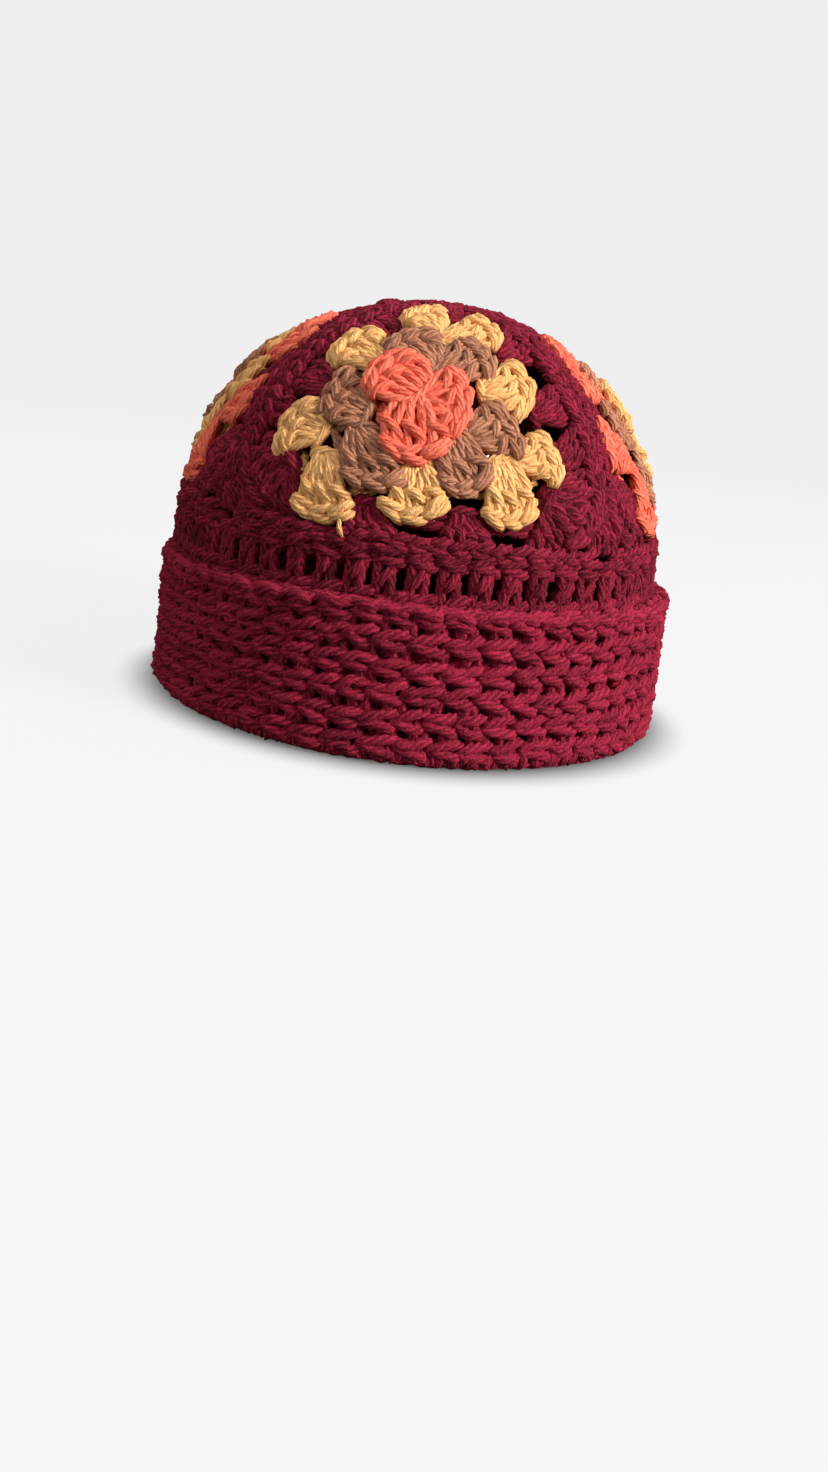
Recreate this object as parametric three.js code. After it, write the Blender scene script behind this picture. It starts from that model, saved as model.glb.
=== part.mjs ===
// A crocheted beanie: four granny triangles make the crown, one open row of
// double crochet joins them to the brim, and the brim is folded up as a double
// cuff. Millimetres, +Z up. The origin is the middle of the brim's foot, and
// triangle 1 faces -Y.
import * as THREE from "three";

// Whole hat
const HEIGHT = 147;
const FABRIC = 4.5;
const GAP = 0.4;
const STITCHES_ROUND = 56;

// Crown: a superellipse turned about Z, whose outer face springs from the cuff
const CROWN_RADIUS = 92.5;
const CROWN_SPRING = 53.8;
const CROWN_POWER = 2.2;
const CROWN_STEPS = 400;

// Granny triangle, laid out flat: its centre lies this far down from the tip
const MOTIFS = 4;
const CENTRE_DROP = 83;
const EDGE_OUT = 50;
const SIDES = 3;

// Fan of three double crochets: the posts are ridges with valleys between them
const FAN_COLUMNS = [-1, -0.5, 0, 0.5, 1];
const FOOT_HALF = 3;
const TIP_ROUNDING = 1.8;
const VALLEY_DEPTH = 1.3;
const CORNER_SPLAY = 48;
const CORNER_FOOT_APART = 4;

// Chain that links two fans, and the chain along the triangle's outer edge
const CHAIN_HALF = 1.35;
const CHAIN_SINK = 0.9;
const CHAIN_STEP = 0.7;
const CORNER_CHAIN_AT = 0.92;
const TIP_CLEAR = 2.2;
const TIP_CHAIN = 9;

// Fans of each round: half their width at the tip, where along a post the side
// chain leaves, and the feet and lengths measured out from the triangle's
// centre. The centre round has one fan to a side and none at the corners.
const ROUNDS = [
  { name: "centre", tipHalf: 7.8, chainAt: 0.8, sideFoot: 3.6, sideLength: 17.1 },
  { name: "round_2", tipHalf: 8.8, chainAt: 0.54, cornerFoot: 15.9, cornerLength: 19.6 },
  {
    name: "round_3",
    tipHalf: 9,
    chainAt: 0.52,
    sideFoot: 24.9,
    sideLength: 17,
    cornerFoot: 35.5,
    cornerLength: 20,
  },
];
const SIDE_FOOT_HALF = 2.2;

// Burgundy border: its tips end on the band's top edge along the bottom side
// and on the seam along the other two. tipsAt holds their places on each side,
// and chain is the width of the chain along it.
const BORDER = { feetAt: [-16.5, 16.5], sideFoot: 34.6, cornerFoot: 56.3, tipHalf: 7.6 };
const BORDER_SIDES = [
  { name: "bottom", chain: 4.6, tipsAt: [-50, -17, 17, 50] },
  { name: "right", chain: 3.5, tipsAt: [-60, -19, 13.5, 45] },
  { name: "left", chain: 3.5, tipsAt: [-45, -13.5, 19, 60] },
];

// Band of open double crochet
const BAND_FOOT = 50.3;
const BAND_RAIL = 3.4;
const SLOT_SHARE = 0.36;

// Folded cuff
const CUFF_RADIUS = 100;
const CUFF_TOP_RADIUS = 97.6;
const CUFF_TOP = 53.8;
const CUFF_ROWS = 6;
const ROW_RELIEF = 0.9;
const INNER_WALL_TOP = 49.9;
const FOLD_HEIGHT = 5;
const FOOT_INNER = 91;
const FOOT_OUTER = 96.5;
const LAYER_GAP = 0.7;
const LAYER_GAP_FLOOR = 9;

// Colours as round 1, round 2 and round 3 of each triangle, from the front and
// then to the right
const YARN = { burgundy: 0x6a1928, orange: 0xe26750, brown: 0x88543e, mustard: 0xc78c53 };
const COLOURWAYS = [
  { centre: "orange", round_2: "brown", round_3: "mustard" },
  { centre: "mustard", round_2: "brown", round_3: "orange" },
  { centre: "orange", round_2: "brown", round_3: "mustard" },
  { centre: "brown", round_2: "mustard", round_3: "orange" },
];

const rad = THREE.MathUtils.degToRad;

function yarnMaterial(colour) {
  return new THREE.MeshStandardMaterial({ color: YARN[colour], roughness: 0.95, metalness: 0 });
}

// Crown profile as a table of arc length from the tip, with the outward normal
function crownProfile() {
  const rows = [];
  const rise = HEIGHT - CROWN_SPRING;
  let arc = 0;
  for (let i = 0; i <= CROWN_STEPS; i += 1) {
    const t = (i / CROWN_STEPS) * (Math.PI / 2);
    const r = CROWN_RADIUS * Math.sin(t) ** (2 / CROWN_POWER);
    const z = CROWN_SPRING + rise * Math.cos(t) ** (2 / CROWN_POWER);
    if (i > 0) arc += Math.hypot(r - rows[i - 1].r, z - rows[i - 1].z);
    const nr = (r / CROWN_RADIUS) ** (CROWN_POWER - 1) / CROWN_RADIUS;
    const nz = Math.max(0, (z - CROWN_SPRING) / rise) ** (CROWN_POWER - 1) / rise;
    const size = Math.hypot(nr, nz);
    rows.push({ arc, r, z, nr: nr / size, nz: nz / size });
  }
  return rows;
}

const PROFILE = crownProfile();
const CROWN_ARC = PROFILE[CROWN_STEPS].arc;
const BAND_TOP_ARC = CENTRE_DROP + EDGE_OUT;

// Point and normal of the crown's outer face; past the spring it drops straight
function profileAt(arc) {
  if (arc >= CROWN_ARC) {
    return { r: CROWN_RADIUS, z: CROWN_SPRING - (arc - CROWN_ARC), nr: 1, nz: 0 };
  }
  let high = 1;
  while (PROFILE[high].arc < arc) high += 1;
  const a = PROFILE[high - 1];
  const b = PROFILE[high];
  const f = (arc - a.arc) / (b.arc - a.arc);
  const mix = (key) => a[key] + f * (b[key] - a[key]);
  return { r: mix("r"), z: mix("z"), nr: mix("nr"), nz: mix("nz") };
}

// Azimuth 0 is -Y and grows towards +X; height is along the outward normal
function onCrown(azimuth, arc, height) {
  const p = profileAt(arc);
  const r = p.r + height * p.nr;
  return new THREE.Vector3(r * Math.sin(azimuth), -r * Math.cos(azimuth), p.z + height * p.nz);
}

// Flat place in a triangle: across to the right and down from its centre
function onTriangle(motif, flat, height) {
  const arc = CENTRE_DROP + flat.down;
  const azimuth = flat.across / profileAt(arc).r + (motif * 2 * Math.PI) / MOTIFS;
  return onCrown(azimuth, arc, height);
}

// Unit steps outward and onward for a direction measured from straight down
function outward(angle) {
  return { across: Math.sin(rad(angle)), down: Math.cos(rad(angle)) };
}

function onward(angle) {
  return { across: Math.cos(rad(angle)), down: -Math.sin(rad(angle)) };
}

function place(from, ...steps) {
  let { across, down } = from;
  for (const [way, size] of steps) {
    across += way.across * size;
    down += way.down * size;
  }
  return { across, down };
}

function between(a, b, f) {
  return { across: a.across + f * (b.across - a.across), down: a.down + f * (b.down - a.down) };
}

const MIDDLE = { across: 0, down: 0 };

// Columns of one fan, each from the foot to the tip
function fanColumns(fan) {
  return FAN_COLUMNS.map((q) => ({
    foot: place(fan.foot, [onward(fan.footAngle), fan.footHalf * q]),
    tip: place(
      fan.foot,
      [outward(fan.angle), fan.length - TIP_ROUNDING * q * q],
      [onward(fan.angle), fan.tipHalf * q],
    ),
    top: Math.abs(q) === 0.5 ? -VALLEY_DEPTH : 0,
    bottom: -FABRIC,
  }));
}

// The short chain between two fans: it leaves the first fan's last post and
// reaches the next fan's first post
function chainColumns(before, after, at) {
  const ends = [
    { post: before, towards: after },
    { post: after, towards: before },
  ];
  return ends.map(({ post, towards }) => {
    const here = between(post.foot, post.tip, at);
    const there = between(towards.foot, towards.tip, at);
    const span = Math.hypot(there.across - here.across, there.down - here.down);
    const start = between(here, there, CHAIN_STEP / span);
    const length = Math.hypot(post.tip.across - post.foot.across, post.tip.down - post.foot.down);
    const along = {
      across: (post.tip.across - post.foot.across) / length,
      down: (post.tip.down - post.foot.down) / length,
    };
    return {
      foot: place(start, [along, -CHAIN_HALF]),
      tip: place(start, [along, CHAIN_HALF]),
      top: -CHAIN_SINK,
      bottom: -FABRIC + CHAIN_SINK,
    };
  });
}

// Every fan of a round in order, with where its chain to the next fan leaves it
function roundFans(round) {
  const fans = [];
  for (let side = 0; side < SIDES; side += 1) {
    const middle = side * 120;
    if (round.cornerFoot) fans.push(cornerFan(round, middle - 60, 1, round.chainAt));
    if (round.sideFoot) fans.push(sideFan(round, middle));
    if (round.cornerFoot) fans.push(cornerFan(round, middle + 60, -1, CORNER_CHAIN_AT));
  }
  return fans;
}

function sideFan(round, angle) {
  return {
    foot: place(MIDDLE, [outward(angle), round.sideFoot]),
    footAngle: angle,
    angle,
    length: round.sideLength,
    footHalf: SIDE_FOOT_HALF,
    tipHalf: round.tipHalf,
    chainAt: round.chainAt,
  };
}

function cornerFan(round, corner, turn, chainAt) {
  return {
    foot: place(
      MIDDLE,
      [outward(corner), round.cornerFoot],
      [onward(corner), turn * CORNER_FOOT_APART],
    ),
    footAngle: corner,
    angle: corner + turn * CORNER_SPLAY,
    length: round.cornerLength,
    footHalf: FOOT_HALF,
    tipHalf: round.tipHalf,
    chainAt,
  };
}

// Closed ring: each column is a four-sided section, and the last joins the first
function ringGeometry(columns, toSpace) {
  const points = [];
  for (const column of columns) {
    points.push(toSpace(column.foot, column.bottom), toSpace(column.tip, column.bottom));
    points.push(toSpace(column.tip, column.top), toSpace(column.foot, column.top));
  }
  const faces = [];
  const corners = 4;
  for (let i = 0; i < columns.length; i += 1) {
    const here = i * corners;
    const next = ((i + 1) % columns.length) * corners;
    for (let k = 0; k < corners; k += 1) {
      const l = (k + 1) % corners;
      faces.push(here + k, next + l, here + l, here + k, next + k, next + l);
    }
  }
  return solidGeometry(points, faces);
}

function solidGeometry(points, faces) {
  const geometry = new THREE.BufferGeometry().setFromPoints(points);
  geometry.setIndex(faces);
  geometry.computeVertexNormals();
  return geometry;
}

function roundColumns(round) {
  const fans = roundFans(round).map((fan) => ({ ...fan, columns: fanColumns(fan) }));
  return fans.flatMap((fan, i) => {
    const next = fans[(i + 1) % fans.length];
    return [...fan.columns, ...chainColumns(fan.columns.at(-1), next.columns[0], fan.chainAt)];
  });
}

// Outer edge of a triangle: the seam on two sides, the band's top edge below
function edgePoint(side, along, inset) {
  const middle = side * 120;
  const flat = place(MIDDLE, [outward(middle), EDGE_OUT], [onward(middle), along]);
  if (side === 0) return { across: flat.across, down: EDGE_OUT - GAP / 2 - inset };
  const seam = (profileAt(CENTRE_DROP + flat.down).r * Math.PI) / MOTIFS;
  const slant = 1 / Math.cos(rad(30));
  const across = Math.sign(flat.across) * (seam - (GAP / 2 + inset) * slant);
  return { across, down: flat.down };
}

function borderFan(side, at, foot, footAngle) {
  return FAN_COLUMNS.map((q) => ({
    foot: place(foot, [onward(footAngle), FOOT_HALF * q]),
    tip: edgePoint(side, at + BORDER.tipHalf * q, 0),
    top: Math.abs(q) === 0.5 ? -VALLEY_DEPTH : 0,
    bottom: -FABRIC,
  }));
}

function edgeChain(side, along) {
  return {
    foot: edgePoint(side, along, BORDER_SIDES[side].chain),
    tip: edgePoint(side, along, 0),
    top: -CHAIN_SINK,
    bottom: -FABRIC,
  };
}

// Chain round a corner: a sharp turn at the band, and one short tip at the top
function cornerChain(side) {
  const next = (side + 1) % SIDES;
  const reach = BORDER.tipHalf + CHAIN_STEP;
  if (side === 1) {
    const top = -CENTRE_DROP;
    return [{
      foot: { across: 0, down: top + TIP_CHAIN },
      tip: { across: 0, down: top + TIP_CLEAR },
      top: -CHAIN_SINK,
      bottom: -FABRIC,
    }];
  }
  const hand = side === 0 ? 1 : -1;
  const seam = (profileAt(BAND_TOP_ARC).r * Math.PI) / MOTIFS;
  const corner = (inset) => ({
    across: hand * (seam - GAP / 2 - inset),
    down: EDGE_OUT - GAP / 2 - inset,
  });
  const chain = BORDER_SIDES[0].chain;
  const turn = { foot: corner(chain), tip: corner(0), top: -CHAIN_SINK, bottom: -FABRIC };
  const leave = BORDER_SIDES[side].tipsAt.at(-1) + reach;
  const arrive = BORDER_SIDES[next].tipsAt[0] - reach;
  return [edgeChain(side, leave), turn, edgeChain(next, arrive)];
}

function borderColumns() {
  const columns = [];
  for (let side = 0; side < SIDES; side += 1) {
    const middle = side * 120;
    const corners = [-1, 1].map((hand) => ({
      footAngle: middle + hand * 60,
      foot: place(
        MIDDLE,
        [outward(middle + hand * 60), BORDER.cornerFoot],
        [onward(middle + hand * 60), -hand * CORNER_FOOT_APART],
      ),
    }));
    const sides = BORDER.feetAt.map((at) => ({
      footAngle: middle,
      foot: place(MIDDLE, [outward(middle), BORDER.sideFoot], [onward(middle), at]),
    }));
    const fans = [corners[0], ...sides, corners[1]];
    const { tipsAt } = BORDER_SIDES[side];
    fans.forEach((fan, i) => {
      columns.push(...borderFan(side, tipsAt[i], fan.foot, fan.footAngle));
      if (i === fans.length - 1) return;
      columns.push(edgeChain(side, tipsAt[i] + BORDER.tipHalf + CHAIN_STEP));
      columns.push(edgeChain(side, tipsAt[i + 1] - BORDER.tipHalf - CHAIN_STEP));
    });
    columns.push(...cornerChain(side));
  }
  return columns;
}

// Band: posts between two rails, with an open slot between each pair of posts
function bandGeometry() {
  const footArc = CROWN_ARC + (CROWN_SPRING - BAND_FOOT);
  const topArc = BAND_TOP_ARC + GAP / 2;
  const levels = [footArc, footArc - BAND_RAIL - (CUFF_TOP - BAND_FOOT), topArc + BAND_RAIL, topArc];
  const points = [];
  const cell = (2 * Math.PI) / STITCHES_ROUND;
  for (let i = 0; i < STITCHES_ROUND; i += 1) {
    for (const edge of [0, 1 - SLOT_SHARE]) {
      for (const height of [0, -FABRIC]) {
        for (const arc of levels) points.push(onCrown((i + edge) * cell, arc, height));
      }
    }
  }
  const rows = levels.length;
  const edges = 2 * STITCHES_ROUND;
  const index = (edge, face, level) => ((edge % edges) * 2 + face) * rows + level;
  const faces = [];
  const quad = (a, b, c, d) => faces.push(a, b, c, a, c, d);
  for (let e = 0; e < edges; e += 1) {
    const slot = e % 2 === 1;
    for (let level = 0; level < rows - 1; level += 1) {
      if (slot && level === 1) continue;
      quad(index(e, 0, level), index(e + 1, 0, level), index(e + 1, 0, level + 1), index(e, 0, level + 1));
      quad(index(e, 1, level), index(e, 1, level + 1), index(e + 1, 1, level + 1), index(e + 1, 1, level));
    }
    quad(index(e, 0, 3), index(e + 1, 0, 3), index(e + 1, 1, 3), index(e, 1, 3));
    quad(index(e, 0, 0), index(e, 1, 0), index(e + 1, 1, 0), index(e + 1, 0, 0));
    if (!slot) continue;
    quad(index(e, 0, 1), index(e + 1, 0, 1), index(e + 1, 1, 1), index(e, 1, 1));
    quad(index(e, 0, 2), index(e, 1, 2), index(e + 1, 1, 2), index(e + 1, 0, 2));
    quad(index(e, 0, 1), index(e, 1, 1), index(e, 1, 2), index(e, 0, 2));
    quad(index(e + 1, 0, 1), index(e + 1, 0, 2), index(e + 1, 1, 2), index(e + 1, 1, 1));
  }
  return solidGeometry(points, faces);
}

// Cuff section: foot, ribbed outer wall, the slit between the two layers, and
// the inner wall down to the foot again
function cuffGeometry() {
  const outer = [[FOOT_OUTER, 0], [CUFF_RADIUS - ROW_RELIEF, FOLD_HEIGHT / 2]];
  const rise = CUFF_TOP - FOLD_HEIGHT / 2;
  for (let i = 0; i < 2 * CUFF_ROWS; i += 1) {
    const f = (i + 1) / (2 * CUFF_ROWS);
    const r = THREE.MathUtils.lerp(CUFF_RADIUS, CUFF_TOP_RADIUS, f);
    outer.push([r - (i % 2 === 1 ? ROW_RELIEF : 0), FOLD_HEIGHT / 2 + rise * f]);
  }
  const slit = CROWN_RADIUS + LAYER_GAP;
  const inner = CROWN_RADIUS - FABRIC;
  const rest = [
    [slit, CUFF_TOP],
    [slit, LAYER_GAP_FLOOR],
    [CROWN_RADIUS, LAYER_GAP_FLOOR],
    [CROWN_RADIUS, INNER_WALL_TOP],
    [inner, INNER_WALL_TOP],
    [inner, FOLD_HEIGHT],
    [FOOT_INNER, 0],
    [FOOT_OUTER, 0],
  ];
  const outline = [...outer, ...rest].map(([r, z]) => new THREE.Vector2(r, z));
  const geometry = new THREE.LatheGeometry(outline, STITCHES_ROUND);
  geometry.rotateX(Math.PI / 2);
  return geometry;
}

const hat = new THREE.Group();

function addPiece(name, geometry, colour) {
  const mesh = new THREE.Mesh(geometry, yarnMaterial(colour));
  mesh.name = name;
  hat.add(mesh);
}

for (let motif = 0; motif < MOTIFS; motif += 1) {
  const toSpace = (flat, height) => onTriangle(motif, flat, height);
  for (const round of ROUNDS) {
    const name = `triangle_${motif + 1}_${round.name}`;
    addPiece(name, ringGeometry(roundColumns(round), toSpace), COLOURWAYS[motif][round.name]);
  }
  const border = ringGeometry(borderColumns(), toSpace);
  addPiece(`triangle_${motif + 1}_border`, border, "burgundy");
}
addPiece("band", bandGeometry(), "burgundy");
addPiece("cuff", cuffGeometry(), "burgundy");

export default hat;
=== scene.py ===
import math

import bpy
import numpy as np
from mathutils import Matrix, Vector


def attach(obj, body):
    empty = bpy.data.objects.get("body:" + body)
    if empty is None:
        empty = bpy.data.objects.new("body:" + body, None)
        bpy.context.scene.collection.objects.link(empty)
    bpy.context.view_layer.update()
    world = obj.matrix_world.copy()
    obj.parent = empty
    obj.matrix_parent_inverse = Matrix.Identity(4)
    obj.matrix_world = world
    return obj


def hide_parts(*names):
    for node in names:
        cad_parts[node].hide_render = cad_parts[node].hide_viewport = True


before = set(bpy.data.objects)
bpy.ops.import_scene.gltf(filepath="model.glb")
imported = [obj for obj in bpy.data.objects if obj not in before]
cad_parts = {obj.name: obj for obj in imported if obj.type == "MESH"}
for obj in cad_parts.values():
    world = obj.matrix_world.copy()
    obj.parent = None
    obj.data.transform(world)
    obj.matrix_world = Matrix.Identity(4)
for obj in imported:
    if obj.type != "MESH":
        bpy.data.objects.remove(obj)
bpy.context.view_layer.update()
MM = 0.001
rng = np.random.default_rng(56)

# Crown profile and triangle layout, the same values as in the solids
HEIGHT = 147.0
CROWN_RADIUS = 92.5
CROWN_SPRING = 53.8
CROWN_POWER = 2.2
CROWN_STEPS = 400
MOTIFS = 4
CENTRE_DROP = 83.0
EDGE_OUT = 50.0
CORNER_SPLAY = 48.0
CORNER_FOOT_APART = 4.0
TIP_ROUNDING = 1.8
FABRIC = 4.5
STITCHES_ROUND = 56

# The crown's right side is slack: how far in, at which azimuth, below which
# place on the profile, and how softly it starts there
SLACK_DEPTH = 3.0
SLACK_AZIMUTH = math.radians(95)
SLACK_ARC = 78.0
SLACK_REACH = 36.0
SET_IN = 0.5
APEX_CLEAR = 0.6
LEAST_RADIUS = 4.0

# Clusters of the three rounds: half width at the tip and foot, how far out
# the feet lie on the sides and corners, length, and swell halfway up
ROUNDS = {
    "centre": dict(
        tip_half=9.2,
        side_foot=1.8,
        side_length=20.0,
        foot_half=4.6,
        front_foot_half=6.6,
        belly=3.6,
    ),
    "round_2": dict(
        tip_half=9.8,
        corner_foot=15.0,
        corner_length=20.8,
        foot_half=4.6,
        belly=1.8,
    ),
    "round_3": dict(
        tip_half=10.0,
        side_foot=24.0,
        side_length=18.4,
        corner_foot=34.6,
        corner_length=21.2,
        foot_half=3.8,
        belly=0.9,
    ),
}

# Front triangle as crocheted: foot, then the tip's two ends with its middle
# between them, in millimetres across and down from the triangle's centre
FRONT = {
    "centre": [
        ((-4.5, -1.5), (-13.0, 17.0), (-3.0, 21.5), (6.5, 16.0)),
        ((-1.5, -1.5), (9.5, 10.0), (12.5, -3.0), (7.0, -14.5)),
        ((-4.0, -4.5), (-10.0, -19.0), (-19.0, -13.0), (-21.5, -2.0)),
    ],
    "round_2": [
        ((-22.0, 12.0), (-25.0, 29.0), (-14.0, 31.5), (-4.0, 28.0)),
        ((9.0, 10.0), (7.0, 26.5), (15.5, 30.0), (23.0, 22.5)),
        ((14.0, 8.5), (33.0, 15.0), (29.5, 5.5), (21.0, -3.5)),
        ((1.0, -16.5), (19.5, -15.0), (17.0, -26.0), (9.0, -33.5)),
        ((-2.0, -17.0), (-1.0, -34.5), (-11.5, -33.0), (-19.5, -22.0)),
        ((-21.5, 6.5), (-29.5, -10.5), (-35.0, -1.5), (-36.5, 9.5)),
    ],
    "round_3": [
        ((-32.5, 23.5), (-42.0, 40.5), (-30.5, 44.0), (-20.5, 40.5)),
        ((-1.0, 21.5), (-12.0, 36.5), (-0.5, 40.5), (9.5, 33.5)),
        ((27.0, 17.5), (22.5, 36.5), (32.0, 39.0), (40.5, 33.0)),
        ((30.5, 15.0), (47.5, 24.0), (46.0, 14.5), (38.0, 6.0)),
        ((17.5, -9.5), (30.5, 2.0), (34.0, -11.5), (25.0, -24.0)),
        ((1.5, -34.5), (20.5, -32.0), (19.0, -44.5), (10.0, -55.0)),
        ((-1.5, -36.0), (-0.5, -59.5), (-8.5, -58.0), (-15.0, -46.5)),
        ((-20.5, -14.5), (-21.0, -31.0), (-32.0, -28.0), (-39.0, -12.5)),
        ((-36.0, 15.0), (-40.0, 4.0), (-50.5, 13.0), (-51.0, 26.0)),
    ],
}

# Borders, by side: 0 is the bottom, 1 the upper right and 2 the upper left
BORDER = dict(
    feet_at=(-15.0, 17.0),
    side_foot=(36.5, 34.0, 34.0),
    corner_foot=54.0,
    foot_half=4.2,
    tip_half=10.8,
    low=1.3,
    tip_inset=1.5,
)
BORDER_TIPS = {
    0: (-50.0, -15.5, 17.5, 50.0),
    1: (-60.0, -19.0, 13.5, 45.0),
    2: (-45.0, -13.5, 19.0, 60.0),
}
FILLERS = {0: (), 1: (-36.0, 29.5), 2: (-29.5, 3.0, 36.0)}
FILLER = dict(foot=36.0, foot_half=4.0, tip_half=8.5)
CORNER_CLUSTER = dict(foot_out=1.0, foot_half=4.5, reach=20.5, rounding=4.5, length=19.5, tip_half=11.5)
SEAM_CLUSTER = dict(foot_down=29.5, foot_half=3.5, tip_down=48.5, tip_half=9.5)
APEX_CLUSTER = dict(foot_half=3.5, tip_half=3.0)
JOIN_GAP = 0.2

# Braid along each side's edge, and the bottom side's hidden chains under it
RIMS = ((-66.0, 66.0), (-70.0, 66.0), (-66.0, 70.0))
RIM_LOOP = 6.6
RIM_INSET = 1.9
UNDER_CHAINS = (-7.5, -10.9)
UNDER_CHAIN_POINTS = 24
UNDER_CHAIN_DEPTH = 4.0

# The top corners, which are drawn in a little on the two side triangles
APEX_CORNER = 180
APEX_SPLAY = 38.0
APEX_REACH = (1.0, 0.8, 1.0, 0.7)
APEX_TIP = 79.0

COLOURWAYS = [
    {"centre": "orange", "round_2": "brown", "round_3": "mustard"},
    {"centre": "mustard", "round_2": "brown", "round_3": "orange"},
    {"centre": "orange", "round_2": "brown", "round_3": "mustard"},
    {"centre": "brown", "round_2": "mustard", "round_3": "orange"},
]

# Posts of a cluster, from -1 at one edge to 1 at the other
POSTS = (-0.64, 0.0, 0.64)
DENSE_POSTS = (-0.75, -0.25, 0.25, 0.75)
LOBE_HEIGHTS = (0.9, 0.9, 1.6)
LINKS_AT = {"centre": (0.45, 0.78), "round_2": (0.78,), "round_3": (0.52,)}
LINK_DEPTHS = {"centre": 4.0, "round_2": 4.0, "round_3": 5.2}

# Loose end below the bottom left cluster: across, down and height
TAIL = ((-24.0, 39.5, -1.5), (-23.6, 42.4, 0.9), (-23.0, 45.4, 1.4), (-22.2, 48.2, 1.2))
TAIL_RADIUS = 0.75

# Yarn: radius of the cotton in the motifs and of the thicker burgundy
COTTON = 1.66
WOOL = 1.85
SIDES = 8
HIDDEN_SIDES = 6
STEP = 1.7
HIDDEN_STEP = 2.6
TWIST_PITCH = 15.0
PLY_DEPTH = 0.13
END_TAPER = 0.6
FLOOR_CLEAR = 2.0
REST_HEIGHT = 0.1
# Painted shade: the crown's border and band yarn is darkened, as where it lies lower and in shade
CROWN_PAINTED_SHADE = 0.78

# Cuff: the outer wall's size and rows, and the inner wall's rows
CUFF_TOP = 53.8
CUFF_ROWS = 6
CUFF_LOW = 97.4
CUFF_HIGH = 95.2
CUFF_ROUND = 97.0
CUFF_CELL = 2 * math.pi * CUFF_ROUND / STITCHES_ROUND
ROW_FOOT = 2.5
ROW_PITCH = (CUFF_TOP - ROW_FOOT) / CUFF_ROWS
ROW_LEAN = 0.12
INNER_FOOT = 2.4
INNER_PITCH = 8.0
BRIM_PRESS = 0.065
BRIM_PRESS_AZIMUTH = math.radians(-90)

# Bars behind a row: points a stitch, phase, radius, middle and depth, then how
# far each lies from the middle and how much it waves
BAR_POINTS = 4
BAR_PHASE = -1.5
BAR_RADIUS = 2.2
BAR_STEP = 3.0
BAR_MIDDLE = -4.2
BAR_DEPTH = -3.5
OPEN_BARS = (3.0, 1.4)
CLOSED_BARS = (2.1, 0.3)

# Rim of the cuff, and the strands that wrap its fold: radius, height, ahead
RIM_RADIUS = 93.6
RIM_SLOPE = 1.15
RIM_DROP = 1.7
RIM_RISE = 0.25
FOLDS_A_STITCH = 3
FOLD = (
    (96.2, 6.5, 1.2),
    (96.0, 3.4, 0.6),
    (94.4, 2.0, 0.0),
    (92.2, 2.0, 0.0),
    (90.2, 3.4, -0.6),
    (89.8, 6.5, -1.2),
)


# Crown surface
def crown_profile():
    turn = np.linspace(0.0, math.pi / 2, CROWN_STEPS + 1)
    rise = HEIGHT - CROWN_SPRING
    r = CROWN_RADIUS * np.sin(turn) ** (2 / CROWN_POWER)
    z = CROWN_SPRING + rise * np.maximum(np.cos(turn), 0.0) ** (2 / CROWN_POWER)
    arc = np.concatenate([[0.0], np.cumsum(np.hypot(np.diff(r), np.diff(z)))])
    out_r = (r / CROWN_RADIUS) ** (CROWN_POWER - 1) / CROWN_RADIUS
    out_z = (np.maximum(z - CROWN_SPRING, 0.0) / rise) ** (CROWN_POWER - 1) / rise
    size = np.hypot(out_r, out_z)
    return dict(arc=arc, r=r, z=z, out_r=out_r / size, out_z=out_z / size)


PROFILE = crown_profile()
CROWN_ARC = PROFILE["arc"][-1]
BAND_TOP_ARC = CENTRE_DROP + EDGE_OUT


def profile_at(arc):
    """Radius, height and outward direction at a length from the apex"""
    held = min(max(arc, 0.0), CROWN_ARC)
    r, z, out_r, out_z = (
        np.interp(held, PROFILE["arc"], PROFILE[key]) for key in ("r", "z", "out_r", "out_z")
    )
    return r, z - max(arc - CROWN_ARC, 0.0), out_r, out_z


def on_crown(azimuth, arc, height):
    """A place on the crown. Its right side is slack and leans in a little"""
    r, z, out_r, out_z = profile_at(arc)
    side = max(math.cos(azimuth - SLACK_AZIMUTH), 0.0)
    above = max(SLACK_ARC - arc, 0.0)
    slack = SLACK_DEPTH * side**2 * math.exp(-((above / SLACK_REACH) ** 2))
    height -= SET_IN + slack
    r += height * out_r
    return (r * math.sin(azimuth), -r * math.cos(azimuth), z + height * out_z)


def on_triangle(motif, across, down, height):
    """A place given across and down from a triangle's centre"""
    arc = max(CENTRE_DROP + down, APEX_CLEAR)
    azimuth = across / max(profile_at(arc)[0], LEAST_RADIUS) + motif * 2 * math.pi / MOTIFS
    return on_crown(azimuth, arc, height)


def outward(angle):
    """From a triangle's centre, where 0 degrees is down and 90 to the right"""
    return np.array([math.sin(math.radians(angle)), math.cos(math.radians(angle))])


def onward(angle):
    """At right angles to outward, towards a larger angle"""
    return np.array([math.cos(math.radians(angle)), -math.sin(math.radians(angle))])


# Yarn
def smooth(points, step):
    """Catmull-Rom curve through the points, sampled at about every step"""
    points = np.asarray(points, float)
    lengths = np.maximum(np.linalg.norm(np.diff(points, axis=0), axis=1), 1e-6)
    reach = np.concatenate([[0.0], np.cumsum(lengths)])
    count = max(3, int(math.ceil(reach[-1] / step)))
    at = np.linspace(0.0, reach[-1], count + 1)
    i = np.clip(np.searchsorted(reach, at, side="right") - 1, 0, len(lengths) - 1)
    f = ((at - reach[i]) / lengths[i])[:, None]
    padded = np.vstack([2 * points[0] - points[1], points, 2 * points[-1] - points[-2]])
    a, b, c, d = padded[i], padded[i + 1], padded[i + 2], padded[i + 3]
    return 0.5 * (
        2 * b + (c - a) * f + (2 * a - 5 * b + 4 * c - d) * f**2 + (3 * b - a - 3 * c + d) * f**3
    )


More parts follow.
